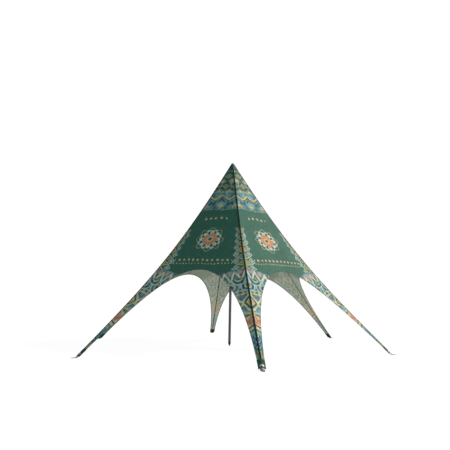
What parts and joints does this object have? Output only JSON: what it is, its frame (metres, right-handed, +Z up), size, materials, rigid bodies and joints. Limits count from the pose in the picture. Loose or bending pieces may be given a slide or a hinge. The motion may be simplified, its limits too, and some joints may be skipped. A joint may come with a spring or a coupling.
{
  "type": "star tent",
  "caption": "Pointed star-shaped marquee: printed fabric panels sag from one pole to narrow legs with bent foot plates, open arches between.",
  "frame": {"origin": "on the ground under the pole, at the middle of the tent", "axes": "+Z up along the pole; leg 1 points to the front along -Y, and the others follow anticlockwise from above"},
  "size_m": [8.8754, 10.24, 6.0147],
  "materials": {
    "printed_fabric": "polyester canopy cloth with an all-over printed pattern, satin",
    "hem_tape": "doubled hem cloth",
    "webbing": "woven polyester band, matte",
    "steel": "zinc-plated, lightly scuffed",
    "pole_coating": "dark grey coating, satin",
    "black_plastic": "moulded, matte"
  },
  "bodies": {
    "root": {"canopy_panel_1": "printed_fabric", "canopy_panel_2": "printed_fabric", "canopy_panel_3": "printed_fabric", "canopy_panel_4": "printed_fabric", "canopy_panel_5": "printed_fabric", "canopy_panel_6": "printed_fabric", "arch_hem_1": "hem_tape", "arch_hem_2": "hem_tape", "arch_hem_3": "hem_tape", "arch_hem_4": "hem_tape", "arch_hem_5": "hem_tape", "arch_hem_6": "hem_tape", "ridge_webbing_1": "webbing", "ridge_webbing_2": "webbing", "ridge_webbing_3": "webbing", "ridge_webbing_4": "webbing", "ridge_webbing_5": "webbing", "ridge_webbing_6": "webbing", "leg_boot_1": "webbing", "leg_boot_2": "webbing", "leg_boot_3": "webbing", "leg_boot_4": "webbing", "leg_boot_5": "webbing", "leg_boot_6": "webbing", "foot_clamp_1": "steel", "foot_clamp_2": "steel", "foot_clamp_3": "steel", "foot_clamp_4": "steel", "foot_clamp_5": "steel", "foot_clamp_6": "steel", "foot_plate_1": "steel", "foot_plate_2": "steel", "foot_plate_3": "steel", "foot_plate_4": "steel", "foot_plate_5": "steel", "foot_plate_6": "steel", "crown_cap": "printed_fabric", "pole_head": "black_plastic", "pole_upper": "pole_coating", "pole_collar": "black_plastic", "pole_pin": "steel", "pole_lower": "pole_coating", "pole_ferrule": "black_plastic"}
  },
  "joints": []
}
